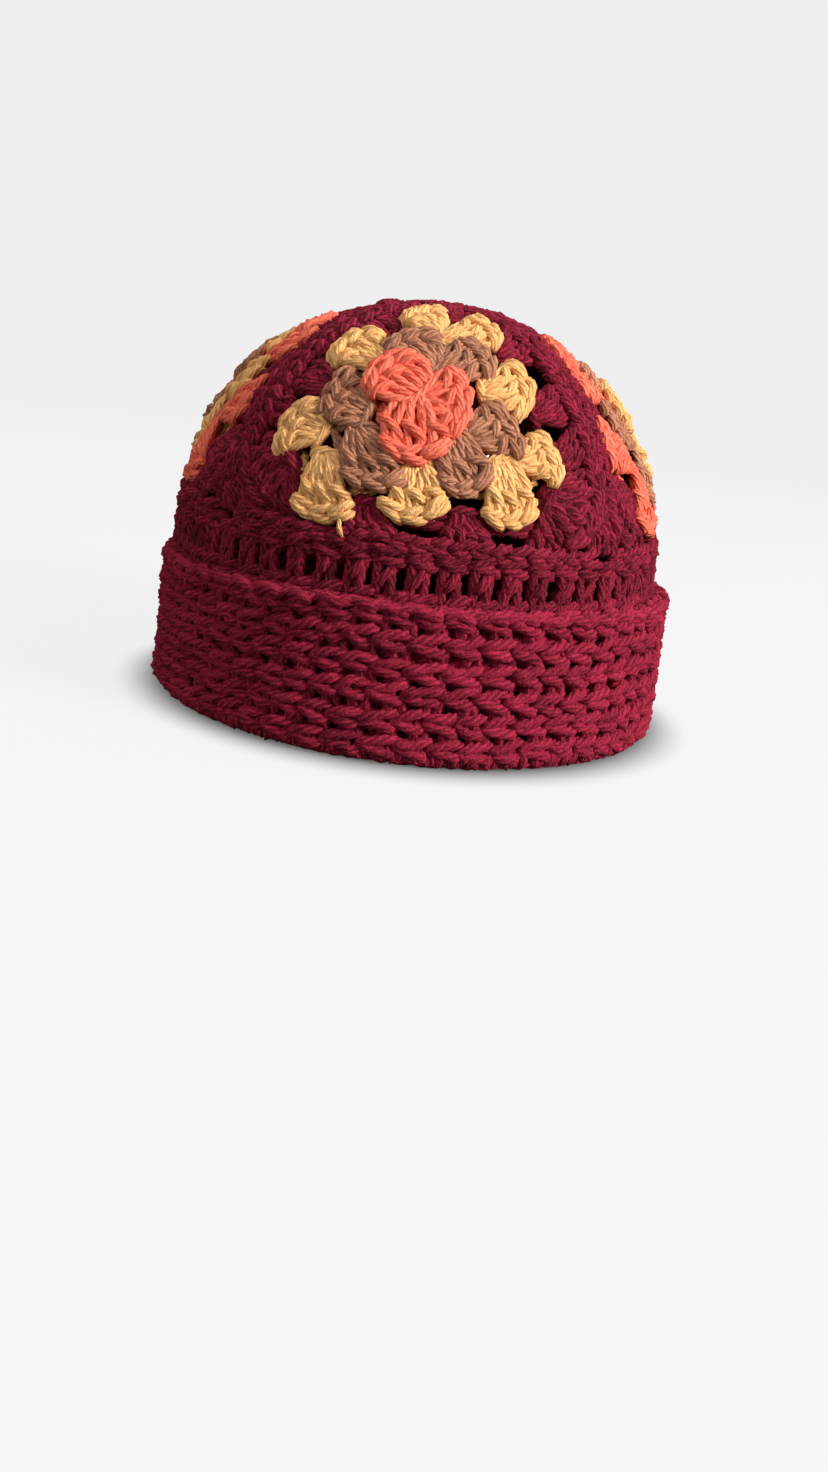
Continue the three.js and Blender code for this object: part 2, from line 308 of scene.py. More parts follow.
def unit(v):
    return v / np.maximum(np.linalg.norm(v, axis=-1, keepdims=True), 1e-9)


class Yarn:
    """Strands of one piece: twisted tubes, swept together and made into one mesh.
    wobble moves a strand's points, uneven its width, and the darkening value adds painted shade to it,
    for yarn that lies in shade"""

    def __init__(self, name, radius, wobble=0.22, uneven=0.04, painted_shade=0.0):
        self.name = name
        self.radius = radius
        self.wobble = wobble
        self.uneven = uneven
        self.painted_shade = painted_shade
        self.strands = []

    def strand(self, points, radius=None, step=STEP, sides=SIDES):
        points = np.array(points, float)
        points[1:-1] += rng.normal(0.0, self.wobble, points[1:-1].shape)
        line = smooth(points, step)
        line[:, 2] = np.maximum(line[:, 2], FLOOR_CLEAR)
        self.strands.append((line, radius or self.radius, sides))

    def sweep(self):
        """All strands of one length and number of sides are swept at once"""
        by_size = {}
        for line, radius, sides in self.strands:
            by_size.setdefault((len(line), sides), []).append((line, radius))
        verts, quads, caps, uvs, tone_and_shade, ply_valley_shade = [], [], [], [], [], []
        base = 0
        for count, sides in sorted(by_size):
            lines = np.array([s[0] for s in by_size[count, sides]])
            radii = np.array([s[1] for s in by_size[count, sides]])
            many = len(lines)
            reach = np.linalg.norm(np.diff(lines, axis=1), axis=2).cumsum(axis=1)
            reach = np.concatenate([np.zeros((many, 1)), reach], axis=1)
            side, third = carried_axes(lines)
            start = rng.uniform(0.0, 2 * math.pi, (many, 1))
            turn = start - 2 * math.pi * reach / TWIST_PITCH
            ring = np.arange(sides)
            angle = turn[:, :, None] + 2 * math.pi * ring / sides
            end = np.ones(count)
            end[0] = end[-1] = END_TAPER
            ply = 1 + PLY_DEPTH * (1 - 2 * (ring % 2))
            size = radii[:, None, None] * end[None, :, None] * ply
            size = size * rng.normal(1.0, self.uneven, size.shape)
            place = (
                lines[:, :, None, :]
                + (size * np.cos(angle))[..., None] * side[:, :, None, :]
                + (size * np.sin(angle))[..., None] * third[:, :, None, :]
            )
            place[..., 2] = np.maximum(place[..., 2], REST_HEIGHT)
            verts.append(place.reshape(-1, 3))
            # Random tone per strand, plus the painted shade of a darkened piece
            tone_and_shade.append(np.repeat(rng.uniform(0, 1, many) + self.painted_shade, count * sides))
            # Painted shade in the ply valleys: every other vertex round a ring is marked to be darkened
            ply_valley_shade.append(np.tile(ring % 2, many * count).astype(float))
            first = base + (np.arange(many) * count * sides)[:, None, None]
            row = (np.arange(count - 1) * sides)[None, :, None]
            here = first + row + ring[None, None, :]
            beside = first + row + ((ring + 1) % sides)[None, None, :]
            quad = np.stack([here, beside, beside + sides, here + sides], axis=-1)
            quads.append(quad.reshape(-1, 4))
            u = np.broadcast_to(ring / sides, (many, count - 1, sides))
            low = np.broadcast_to(reach[:, :-1, None], u.shape)
            high = np.broadcast_to(reach[:, 1:, None], u.shape)
            corner_u = np.stack([u, u + 1 / sides, u + 1 / sides, u], axis=-1)
            corner_v = np.stack([low, low, high, high], axis=-1)
            uvs.append(np.stack([corner_u, corner_v / TWIST_PITCH], axis=-1).reshape(-1, 2))
            last = (count - 1) * sides
            caps.append(first[:, 0] + ring[::-1])
            caps.append(first[:, 0] + last + ring)
            base += many * count * sides
        cap_sides = np.concatenate([np.full(len(cap), cap.shape[1]) for cap in caps])
        caps = np.concatenate([cap.ravel() for cap in caps])
        parts = [np.concatenate(part) for part in (verts, quads, uvs, tone_and_shade, ply_valley_shade)]
        return (*parts, caps, cap_sides)

    def make(self, material, slot, *nodes):
        verts, quads, uvs, tone_and_shade, ply_valley_shade, caps, cap_sides = self.sweep()
        mesh = bpy.data.meshes.new(self.name)
        mesh.vertices.add(len(verts))
        mesh.vertices.foreach_set("co", (verts * MM).astype(np.float32).ravel())
        loops = np.concatenate([quads.ravel(), caps]).astype(np.int32)
        totals = np.concatenate([np.full(len(quads), 4), cap_sides])
        starts = np.concatenate([[0], np.cumsum(totals)[:-1]])
        mesh.loops.add(len(loops))
        mesh.loops.foreach_set("vertex_index", loops)
        mesh.polygons.add(len(totals))
        mesh.polygons.foreach_set("loop_start", starts.astype(np.int32))
        mesh.polygons.foreach_set("loop_total", totals.astype(np.int32))
        mesh.polygons.foreach_set("use_smooth", np.ones(len(totals), bool))
        layer = mesh.uv_layers.new(name="yarn")
        every = np.zeros((len(loops), 2), np.float32)
        every[: len(uvs)] = uvs
        layer.data.foreach_set("uv", every.ravel())
        for name, values in (("tone_and_shade", tone_and_shade), ("ply_valley_shade", ply_valley_shade)):
            spot = mesh.attributes.new(name, "FLOAT", "POINT")
            spot.data.foreach_set("value", values.astype(np.float32))
        mesh.update()
        mesh.validate()
        mesh.materials.append(material)
        piece = bpy.data.objects.new(self.name, mesh)
        bpy.context.scene.collection.objects.link(piece)
        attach(piece, "root")
        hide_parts(*nodes)
        print(self.name, int((totals - 2).sum()))


def carried_axes(lines):
    """Two directions across each line, carried along it without twist"""
    along = unit(np.gradient(lines, axis=1))
    any_way = np.array([0.31, 0.52, 0.79])
    side = unit(np.cross(along[:, 0], any_way))
    carried = [side]
    for k in range(1, lines.shape[1]):
        ahead = along[:, k]
        side = unit(side - (side * ahead).sum(axis=1, keepdims=True) * ahead)
        carried.append(side)
    side = np.stack(carried, axis=1)
    return side, np.cross(along, side)


# Stitches. A spot or space gives a place for two lengths on the fabric and a
# height over it. The points of a strand are in millimetres or in shares.
def chain(yarn, spot, count, pitch, start, wide=1.9, lift=0.0, depth=2.6, long=1.0, sides=SIDES):
    """A braid of V loops, each opening out of the one before"""
    for k in range(count):
        foot = start + k * pitch
        length = long * pitch
        for hand in (-1, 1):
            yarn.strand(
                [
                    spot(foot - 0.16 * pitch, hand * 0.12 * wide, lift - 0.55 * depth),
                    spot(foot + 0.08 * length, hand * 0.34 * wide, lift - 0.25),
                    spot(foot + 0.45 * length, hand * 0.8 * wide, lift),
                    spot(foot + 0.85 * length, hand * 1.12 * wide, lift - 0.5),
                    spot(foot + 1.1 * length, hand * 0.95 * wide, lift - depth),
                ],
                sides=sides,
            )


def post(yarn, spot, q, gap, lean):
    """One double crochet: two legs, the yarn-over across them and its back"""
    for hand in (-1, 1):
        low = -1.5 if hand * (q or 1) > 0 else -2.6
        yarn.strand(
            [
                spot(q * 0.9 + hand * 0.6 * gap, -0.12, low - 1.4),
                spot(q + hand * gap, 0.16, -1.5),
                spot(q + hand * gap * 1.04 + lean, 0.45, -1.15),
                spot(q + hand * gap + lean, 0.7, -1.3),
                spot(q + hand * gap * 0.85, 0.93, -2.4),
            ]
        )
    yarn.strand(
        [
            spot(q - 2.1 * gap, 0.40, -2.9),
            spot(q - 1.4 * gap, 0.46, -1.0),
            spot(q, 0.555, 0.35),
            spot(q + 1.3 * gap, 0.65, -0.6),
            spot(q + 2.0 * gap, 0.71, -2.7),
        ],
        radius=yarn.radius * 0.92,
    )
    yarn.strand(
        [
            spot(q * 0.9, -0.1, -3.0),
            spot(q - 0.12, 0.3, -2.9),
            spot(q + 0.12, 0.65, -2.8),
            spot(q, 0.95, -2.8),
        ],
        step=HIDDEN_STEP,
        sides=HIDDEN_SIDES,
    )


def cluster(yarn, space, foot, tip, length, tip_half, posts=POSTS, chained=True, belly=0.0):
    """Double crochets worked in one place. foot(q) and tip(q) are flat places,
    with q from -1 at one edge to 1 at the other"""
    opening = unit(tip(1.0) - tip(-1.0))

    def spot(q, share, height):
        swell = belly * math.sin(math.pi * min(max(share, 0.0), 1.0))
        flat = foot(q) + share * (tip(q) - foot(q)) + swell * q * opening
        return space(flat[0], flat[1], height)

    gap = 0.27 * (posts[1] - posts[0])
    for q in posts:
        post(yarn, spot, q, gap, rng.normal(0.0, 0.02))
    yarn.strand(
        [
            spot(-1.7, 0.0, -3.4),
            spot(-0.9, -0.1, -2.2),
            spot(0.9, -0.1, -2.2),
            spot(1.7, 0.0, -3.4),
        ]
    )
    if not chained:
        return

    def edge(along, aside, height):
        share = 1 + (aside - 2.0) / length
        q = min(max(along / tip_half, -1.04), 1.04)
        return spot(q, share, height - 2.0 * abs(along / tip_half - q) * tip_half)

    pitch = 2 * tip_half / 3
    chain(yarn, edge, 3, pitch, -tip_half + 0.02 * pitch, wide=1.75, lift=0.1)


def link(yarn, space, start, end, depth):
    """The chain that joins neighbouring clusters, a twisted pair set low"""
    way = (end - start) / max(np.linalg.norm(end - start), 1e-6)
    aside = np.array([-way[1], way[0]])
    for hand in (-1, 1):
        line = []
        for share, off in ((-0.1, 0.2), (0.17, 1.0), (0.5, -1.0), (0.83, 1.0), (1.1, 0.2)):
            flat = start + share * (end - start) + aside * off * hand
            line.append(space(flat[0], flat[1], 0.5 * off * hand - depth))
        yarn.strand(line, radius=yarn.radius * 0.8)


# Rounds of a triangle. A fan is a cluster's foot(q), tip(q), length and half
# width at the tip
def fan_of(shape, at, foot_angle, angle, length):
    angle += rng.normal(0.0, 3.0)
    length *= rng.uniform(0.96, 1.05)
    half = shape["tip_half"] * rng.uniform(0.94, 1.06)

    def foot(q):
        return at + onward(foot_angle) * shape["foot_half"] * q

    def tip(q):
        out = length - TIP_ROUNDING * q * q
        return at + outward(angle) * out + onward(angle) * half * q

    return foot, tip, length, half


def side_fan(shape, angle):
    foot = outward(angle) * shape["side_foot"]
    return fan_of(shape, foot, angle, angle, shape["side_length"])


def corner_fan(shape, motif, corner, turn):
    at_apex = corner == APEX_CORNER
    reach = APEX_REACH[motif] if at_apex else 1.0
    splay = APEX_SPLAY if at_apex else CORNER_SPLAY
    foot = outward(corner) * shape["corner_foot"] * reach
    foot = foot + onward(corner) * turn * CORNER_FOOT_APART
    return fan_of(shape, foot, corner, corner + turn * splay, shape["corner_length"] * reach)


def measured_fan(shape, at, start, middle, end):
    """A fan through a foot and three places along its tip"""
    at, start, middle, end = (np.array(place, float) for place in (at, start, middle, end))
    across = (end - start) / np.linalg.norm(end - start)
    foot_half = shape.get("front_foot_half", shape["foot_half"])

    def foot(q):
        return at + across * foot_half * q

    def tip(q):
        return start * q * (q - 1) / 2 + middle * (1 - q * q) + end * q * (q + 1) / 2

    return foot, tip, np.linalg.norm(middle - at), np.linalg.norm(end - start) / 2


def round_fans(motif, name):
    shape = ROUNDS[name]
    if motif == 0:
        return [measured_fan(shape, *places) for places in FRONT[name]]
    fans = []
    for side in range(3):
        middle = side * 120
        if "corner_foot" in shape:
            fans.append(corner_fan(shape, motif, middle - 60, 1))
        if "side_foot" in shape:
            fans.append(side_fan(shape, middle))
        if "corner_foot" in shape:
            fans.append(corner_fan(shape, motif, middle + 60, -1))
    return fans


# Border of a triangle
def edge_point(side, along, inset=0.0):
    """A flat place on a side of the triangle, or inset from it"""
    middle = side * 120
    across, down = outward(middle) * EDGE_OUT + onward(middle) * along
    if side == 0:
        return np.array([across, EDGE_OUT - JOIN_GAP - inset])
    seam = profile_at(CENTRE_DROP + down)[0] * math.pi / MOTIFS
    slant = 1 / math.cos(math.radians(30))
    return np.array([math.copysign(seam - (JOIN_GAP + inset) * slant, across), down])


def corner_cluster(yarn, space, corner):
    """One more cluster that fills the border out into a bottom corner"""
    shape = CORNER_CLUSTER
    at = outward(corner) * (BORDER["corner_foot"] + shape["foot_out"])

    def foot(q):
        return at + onward(corner) * shape["foot_half"] * q

    def tip(q):
        out = shape["reach"] - shape["rounding"] * q * q
        return at + outward(corner) * out + onward(corner) * shape["tip_half"] * q

    cluster(yarn, space, foot, tip, shape["length"], shape["tip_half"], posts=DENSE_POSTS)


def seam_cluster(yarn, space):
    """A cluster over the seam's foot, where two triangles meet the band"""
    shape = SEAM_CLUSTER
    seam = profile_at(CENTRE_DROP + EDGE_OUT)[0] * math.pi / MOTIFS

    def foot(q):
        return np.array([seam + shape["foot_half"] * q, shape["foot_down"]])

    def tip(q):
        return np.array([seam + shape["tip_half"] * q, shape["tip_down"]])

    length = shape["tip_down"] - shape["foot_down"]
    cluster(yarn, space, foot, tip, length, shape["tip_half"], posts=DENSE_POSTS, chained=False)


def apex_cluster(yarn, space, reach):
    """A cluster that closes the triangle's top corner up to the apex"""
    shape = APEX_CLUSTER
    low = BORDER["corner_foot"] * reach

    def foot(q):
        return np.array([shape["foot_half"] * q, -low])

    def tip(q):
        return np.array([shape["tip_half"] * q, -APEX_TIP])

    cluster(yarn, space, foot, tip, APEX_TIP - low, shape["tip_half"], chained=False)


def border_feet(middle, side, reach):
    """Feet of a side's four clusters, each a flat place and an angle"""
    feet = []
    for hand in (-1, 1):
        corner = middle + hand * 60
        at = outward(corner) * BORDER["corner_foot"]
        if corner == APEX_CORNER:
            at = at * reach
        at = at - onward(corner) * hand * CORNER_FOOT_APART
        feet.append((at, corner))
    inner = [
        (outward(middle) * BORDER["side_foot"][side] + onward(middle) * at, middle)
        for at in BORDER["feet_at"]
    ]
    return [feet[0], *inner, feet[1]]


def border_rim(yarn, space, side):
    """The braid that joins a side to its neighbour"""
    low, high = RIMS[side]
    count = int(round((high - low) / RIM_LOOP))

    def rim(along, aside, height):
        flat = edge_point(side, along, RIM_INSET - aside)
        return space(flat[0], flat[1], height)

    chain(yarn, rim, count, (high - low) / count, low, wide=1.7, lift=-0.2)
    if side != 0:
        return
    for aside in UNDER_CHAINS:
        stops = np.linspace(0.9 * low, 0.9 * high, UNDER_CHAIN_POINTS)
        yarn.strand([rim(along, aside, -UNDER_CHAIN_DEPTH) for along in stops], sides=HIDDEN_SIDES)


def border(yarn, space, reach):
    apex_cluster(yarn, space, reach)

    def sunk(across, down, height):
        return space(across, down, height - BORDER["low"])

    for side in range(3):
        middle = side * 120
        for (at, foot_angle), tip_at in zip(border_feet(middle, side, reach), BORDER_TIPS[side]):

            def foot(q, at=at, foot_angle=foot_angle):
                return at + onward(foot_angle) * BORDER["foot_half"] * q

            def tip(q, tip_at=tip_at):
                return edge_point(side, tip_at + BORDER["tip_half"] * q, BORDER["tip_inset"])

            length = np.linalg.norm(tip(0) - foot(0))
            half = BORDER["tip_half"]
            cluster(yarn, sunk, foot, tip, length, half, posts=DENSE_POSTS, chained=False)
        for along in FILLERS[side]:

            def foot(q, along=along):
                across = along + FILLER["foot_half"] * q
                return outward(middle) * FILLER["foot"] + onward(middle) * across

            def tip(q, along=along):
                return edge_point(side, along + FILLER["tip_half"] * q, BORDER["tip_inset"])

            length = np.linalg.norm(tip(0) - foot(0))
            cluster(yarn, sunk, foot, tip, length, FILLER["tip_half"], chained=False)
        if side != 1:
            corner_cluster(yarn, space, middle + 60)
        if side == 0:
            seam_cluster(yarn, space)
        border_rim(yarn, space, side)


def crown_space(motif):
    def space(across, down, height):
        return on_triangle(motif, across, down, height)

    return space


def border_piece(motif):
    name = f"yarn_triangle_{motif + 1}_border"
    yarn = Yarn(name, WOOL, wobble=0.42, uneven=0.08, painted_shade=CROWN_PAINTED_SHADE)
    border(yarn, crown_space(motif), APEX_REACH[motif])
    return yarn


def round_piece(motif, name):
    space = crown_space(motif)
    yarn = Yarn(f"yarn_triangle_{motif + 1}_{name}", COTTON)
    fans = round_fans(motif, name)
    proud = LOBE_HEIGHTS if name == "centre" else (0.0,) * len(fans)
    for (foot, tip, length, half), rise in zip(fans, proud):

        def lifted(across, down, height, rise=rise):
            return space(across, down, height + rise)

        cluster(yarn, lifted, foot, tip, length, half, belly=ROUNDS[name]["belly"])
    for fan, after in zip(fans, fans[1:] + fans[:1]):
        for share in LINKS_AT[name]:
            start = fan[0](1) + share * (fan[1](1) - fan[0](1))
            end = after[0](-1) + share * (after[1](-1) - after[0](-1))
            link(yarn, space, start, end, LINK_DEPTHS[name])
    if motif == 0 and name == "round_3":
        yarn.strand([space(*place) for place in TAIL], radius=TAIL_RADIUS)
    return yarn


# Band
def band_piece():
    """One double crochet a stitch between two braids, with slots between them"""
    yarn = Yarn("yarn_band", WOOL, wobble=0.32, uneven=0.08, painted_shade=CROWN_PAINTED_SHADE)
    cell = 2 * math.pi / STITCHES_ROUND
    top = BAND_TOP_ARC + 1.0
    bottom = CROWN_ARC + 2.0
    for i in range(STITCHES_ROUND):
        middle = (i + 0.32) * cell
        lean = rng.normal(0.0, 0.5)

        def spot(aside, share, height, middle=middle):
            arc = bottom + share * (top - bottom)
            return on_crown(middle + aside / CROWN_RADIUS, arc, height)

        for hand in (-1, 1):
            yarn.strand(
                [
                    spot(hand * 1.5, -0.12, -2.9),
                    spot(hand * 2.1, 0.15, -1.2),
                    spot(hand * 2.0 + lean, 0.5, -0.9),
                    spot(hand * 2.0 + lean, 0.8, -1.2),
                    spot(hand * 1.4, 1.05, -2.8),
                ]
            )
        yarn.strand(
            [
                spot(-2.9, 0.34, -3.4),
                spot(-2.0, 0.42, -1.0),
                spot(0.2, 0.56, 0.45),
                spot(2.2, 0.72, -0.7),
                spot(2.6, 0.84, -3.2),
            ],
            radius=WOOL * 0.9,
        )
        yarn.strand(
            [
                spot(0, -0.1, -3.6),
                spot(-0.6, 0.3, -3.9),
                spot(0.6, 0.7, -3.9),
                spot(0, 1.1, -3.4),
            ],
            sides=HIDDEN_SIDES,
        )

    def row(arc):
        def spot(along, aside, height):
            return on_crown(along / CROWN_RADIUS, arc + aside, height)

        return spot

    pitch = cell * CROWN_RADIUS
    chain(yarn, row(BAND_TOP_ARC + 2.0), STITCHES_ROUND, pitch, 0.0, wide=1.7, lift=-0.4, long=0.85)
    chain(yarn, row(CROWN_ARC + 0.6), STITCHES_ROUND, pitch, 2.0, wide=1.9, lift=-0.2, long=0.85)
    return yarn


# Cuff. Lengths round it are measured at the radius CUFF_ROUND
def brim_share(azimuth):
    """The folded brim sits a little lower at the left, as in the photo"""
    return 1 - BRIM_PRESS * max(math.cos(azimuth - BRIM_PRESS_AZIMUTH), 0.0) ** 2


def outer_radius(z):
    return CUFF_LOW + (CUFF_HIGH - CUFF_LOW) * min(max(z / CUFF_TOP, 0.0), 1.0)


def inner_radius(z):
    return CROWN_RADIUS - FABRIC


def round_spot(radius_of, level, facing):
    """Places along a row, aside from it upward, and out from it by facing"""

    def spot(along, aside, height):
        a = along / CUFF_ROUND
        z = (level + aside) * (brim_share(a) if facing > 0 else 1.0)
        r = radius_of(z) + facing * height
        return (r * math.sin(a), -r * math.cos(a), z)

    return spot


def wandering(spot, cell):
    """The same places, drifting a little along and up as handwork does"""
    phases = rng.uniform(0.0, 2 * math.pi, 4)

    def drifted(along, aside, height):
        a = along / CUFF_ROUND
        ahead = 0.14 * math.sin(4 * a + phases[0]) + 0.1 * math.sin(9 * a + phases[1])
        up = 0.5 * math.sin(5 * a + phases[2]) + 0.35 * math.sin(11 * a + phases[3])
        return spot(along + ahead * cell, aside + up, height)

    return drifted


def stitch_rows(yarn, radius_of, facing, first, pitch_up, lean, bars, sides=SIDES):
    """Rows of V loops over short posts, with two wavy bars behind each row"""
    cell = CUFF_CELL
    apart, waving = bars
    for row in range(CUFF_ROWS):
        level = first + (row + 0.5) * pitch_up
        shift = row * lean * cell + rng.normal(0.0, 0.12) * cell
        spot = wandering(round_spot(radius_of, level, facing), cell)
        chain(yarn, spot, STITCHES_ROUND, cell, shift, wide=2.15, lift=-0.2, long=0.9, sides=sides)
        for k in range(STITCHES_ROUND):
            middle = shift + (k + 0.74) * cell
            slant = rng.normal(0.4, 0.5)
            for hand in (-1, 1):
                yarn.strand(
                    [
                        spot(middle + hand * 1.5 + slant, 1.4, -3.2),
                        spot(middle + hand * 1.8 + slant * 0.4, -1.6, -2.0),
                        spot(middle + hand * 1.8 - slant * 0.4, -4.4, -1.7),
                        spot(middle + hand * 1.5 - slant, -7.2, -3.2),
                    ],
                    sides=HIDDEN_SIDES,
                )
        for hand in (-1, 1):
            bar = []
            for k in range(BAR_POINTS * STITCHES_ROUND + 2):
                along = k * cell / BAR_POINTS
                wave = math.cos(2 * math.pi * (along - shift) / cell + BAR_PHASE)
                aside = BAR_MIDDLE + hand * (apart + waving * wave)
                bar.append(spot(along, aside, BAR_DEPTH))
            yarn.strand(bar, radius=BAR_RADIUS, step=BAR_STEP, sides=HIDDEN_SIDES)


def cuff_outer():
    yarn = Yarn("yarn_cuff_outer", WOOL, wobble=0.36, uneven=0.09)
    stitch_rows(yarn, outer_radius, 1, ROW_FOOT, ROW_PITCH, ROW_LEAN, OPEN_BARS)
    return yarn


def cuff_inner():
    yarn = Yarn("yarn_cuff_inner", WOOL, wobble=0.3, uneven=0.08)
    stitch_rows(
        yarn, inner_radius, -1, INNER_FOOT, INNER_PITCH, -ROW_LEAN, CLOSED_BARS, HIDDEN_SIDES
    )
    return yarn


def cuff_edges():
    """Braid along the top of the folded brim and the fold at its foot"""
    yarn = Yarn("yarn_cuff_edge", WOOL, wobble=0.28, uneven=0.09)

    def rim(along, aside, height):
        a = along / CUFF_ROUND
        r = RIM_RADIUS - aside * RIM_SLOPE
        z = (CUFF_TOP - RIM_DROP) * brim_share(a) + height + RIM_RISE * aside
        return (r * math.sin(a), -r * math.cos(a), z)

    chain(yarn, rim, STITCHES_ROUND, CUFF_CELL, 1.0, wide=1.7, lift=0.1, depth=2.0)
    for k in range(STITCHES_ROUND * FOLDS_A_STITCH):
        start = (k + 0.3 * rng.uniform(-1, 1)) * CUFF_CELL / FOLDS_A_STITCH / CUFF_ROUND
        line = []
        for r, z, ahead in FOLD:
            a = start + ahead / CUFF_ROUND
            line.append((r * math.sin(a), -r * math.cos(a), z))
        yarn.strand(line)
    return yarn


# Materials: scales of the noise, and what each layer adds to the shade
BLOTCH_SCALE = 90.0
GRAIN_SCALE = 900.0
FUZZ_SCALE = 2600.0
FIBRES_ROUND = 7.0
FIBRES_A_TURN = 3.0
STRAY = 3.2
TONE_AND_SHADE_SHARE = 0.26
BLOTCH_SHARE = 0.3
GRAIN_SHARE = 0.5
SHADE_START = 0.18
FUZZ_RELIEF = 0.7
RELIEF_HEIGHT = 0.0006


def srgb(r, g, b):
    def linear(c):
        c = c / 255
        return c / 12.92 if c <= 0.04045 else ((c + 0.055) / 1.055) ** 2.4

    return (linear(r), linear(g), linear(b), 1.0)


def yarn_material(name, light, dark, fuzz, fibre_light_shade, ply_valley_shade, sheen, roughness):
    """Lit and shaded colours mixed by fibre lines, plies, strands and noise.
    fuzz strays the fibre lines; two weights say how dark the fibre lines and the ply valleys are,
    painted highlight and shade along the fibres and painted shade in the valleys"""
    material = bpy.data.materials.new(name)
    material.use_nodes = True
    tree = material.node_tree
    nodes, links = tree.nodes, tree.links
    nodes.clear()
    out = nodes.new("ShaderNodeOutputMaterial")
    shader = nodes.new("ShaderNodeBsdfPrincipled")
    links.new(shader.outputs["BSDF"], out.inputs["Surface"])
    shader.inputs["Roughness"].default_value = roughness
    shader.inputs["Specular IOR Level"].default_value = 0.18
    shader.inputs["Sheen Weight"].default_value = sheen
    shader.inputs["Sheen Roughness"].default_value = 0.45
    shader.inputs["Sheen Tint"].default_value = light

    def maths(kind, *values):
        node = nodes.new("ShaderNodeMath")
        node.operation = kind
        for socket, value in zip(node.inputs, values):
            if isinstance(value, (int, float)):
                socket.default_value = value
            else:
                links.new(value, socket)
        return node.outputs[0]

    def spot_value(attribute):
        node = nodes.new("ShaderNodeAttribute")
        node.attribute_name = attribute
        return node.outputs["Fac"]

    def noise(scale, detail):
        node = nodes.new("ShaderNodeTexNoise")
        node.inputs["Scale"].default_value = scale
        node.inputs["Detail"].default_value = detail
        links.new(place.outputs["Object"], node.inputs["Vector"])
        return node.outputs["Fac"]

    place = nodes.new("ShaderNodeTexCoord")
    uv = nodes.new("ShaderNodeUVMap")
    uv.uv_map = "yarn"
    parts = nodes.new("ShaderNodeSeparateXYZ")
    links.new(uv.outputs["UV"], parts.inputs[0])
    around, along = parts.outputs[0], parts.outputs[1]
    blotch = noise(BLOTCH_SCALE, 3.0)
    grain = noise(GRAIN_SCALE, 3.0)
    fine = noise(FUZZ_SCALE, 2.0)
    phase = maths(
        "SUBTRACT",
        maths("MULTIPLY", around, FIBRES_ROUND),
        maths("MULTIPLY", along, FIBRES_A_TURN),
    )
    phase = maths("ADD", phase, maths("MULTIPLY", grain, STRAY * fuzz))
    fibre = maths("SINE", maths("MULTIPLY", phase, 2 * math.pi))
    fibre = maths("MULTIPLY_ADD", fibre, 0.5, 0.5)
    # Random tone per strand, with the painted shade of the darkened crown pieces added in
    shade = maths("MULTIPLY", spot_value("tone_and_shade"), TONE_AND_SHADE_SHARE)
    # Painted shade in the ply valleys
    shade = maths("ADD", shade, maths("MULTIPLY", spot_value("ply_valley_shade"), ply_valley_shade))
    # Painted highlight and shade along the twisted fibre lines
    shade = maths("ADD", shade, maths("MULTIPLY", fibre, fibre_light_shade))
    shade = maths("ADD", shade, maths("MULTIPLY", blotch, BLOTCH_SHARE))
    shade = maths("ADD", shade, maths("MULTIPLY", grain, GRAIN_SHARE))
    shade = maths("SUBTRACT", shade, SHADE_START + fibre_light_shade / 2)
    mix = nodes.new("ShaderNodeMix")
    mix.data_type = "RGBA"
    links.new(shade, mix.inputs["Factor"])
    colours_in = [socket for socket in mix.inputs if socket.type == "RGBA"]
    colours_in[0].default_value = light
    colours_in[1].default_value = dark
    colour_out = [socket for socket in mix.outputs if socket.type == "RGBA"][0]
    links.new(colour_out, shader.inputs["Base Color"])
    bump = nodes.new("ShaderNodeBump")
    bump.inputs["Strength"].default_value = 0.8
    bump.inputs["Distance"].default_value = RELIEF_HEIGHT
    relief = maths(
        "ADD",
        maths("MULTIPLY", fibre, 1 - fuzz),
        maths("MULTIPLY", fine, FUZZ_RELIEF * fuzz),
    )
    links.new(relief, bump.inputs["Height"])
    links.new(bump.outputs["Normal"], shader.inputs["Normal"])
    return material


WOOL_LOOK = dict(fuzz=0.5, fibre_light_shade=0.5, ply_valley_shade=0.3, sheen=0.4, roughness=0.95)
COTTON_LOOK = dict(fuzz=0.3, fibre_light_shade=0.5, ply_valley_shade=0.2, sheen=0.15, roughness=0.85)
YARNS = {}
for colour, light, dark, look in (
    ("burgundy", (178, 39, 67), (69, 8, 20), WOOL_LOOK),
    ("orange", (255, 132, 104), (224, 78, 56), COTTON_LOOK),
    ("brown", (202, 138, 104), (114, 68, 50), COTTON_LOOK),
    ("mustard", (255, 198, 128), (208, 142, 80), COTTON_LOOK),
):
    YARNS[colour] = yarn_material(f"{colour}_yarn", srgb(*light), srgb(*dark), **look)

# Pieces
for motif in range(MOTIFS):
    for name, colour in COLOURWAYS[motif].items():
        piece = round_piece(motif, name)
        piece.make(YARNS[colour], f"{colour}_yarn", f"triangle_{motif + 1}_{name}")
    border_piece(motif).make(YARNS["burgundy"], "burgundy_yarn", f"triangle_{motif + 1}_border")
band_piece().make(YARNS["burgundy"], "burgundy_yarn", "band")
cuff_outer().make(YARNS["burgundy"], "burgundy_yarn", "cuff")
cuff_inner().make(YARNS["burgundy"], "burgundy_yarn", "cuff")
cuff_edges().make(YARNS["burgundy"], "burgundy_yarn", "cuff")

# Backdrop: radius of the flat floor, of the bend into the wall, and the top
FLOOR_RADIUS = 2.2
BEND_RADIUS = 1.2
WALL_TOP = 2.4
BACKDROP_SIDES = 96
BEND_STEPS = 16
BACKDROP_GREY = 0.07
GLOW = 0.82
# Painted shadow on the floor: no glow within the first radius, under the hat, rising to full glow at
# the second, round its foot
PAINTED_SHADOW_FULL_WITHIN = 0.088
PAINTED_SHADOW_GONE_AT = 0.115


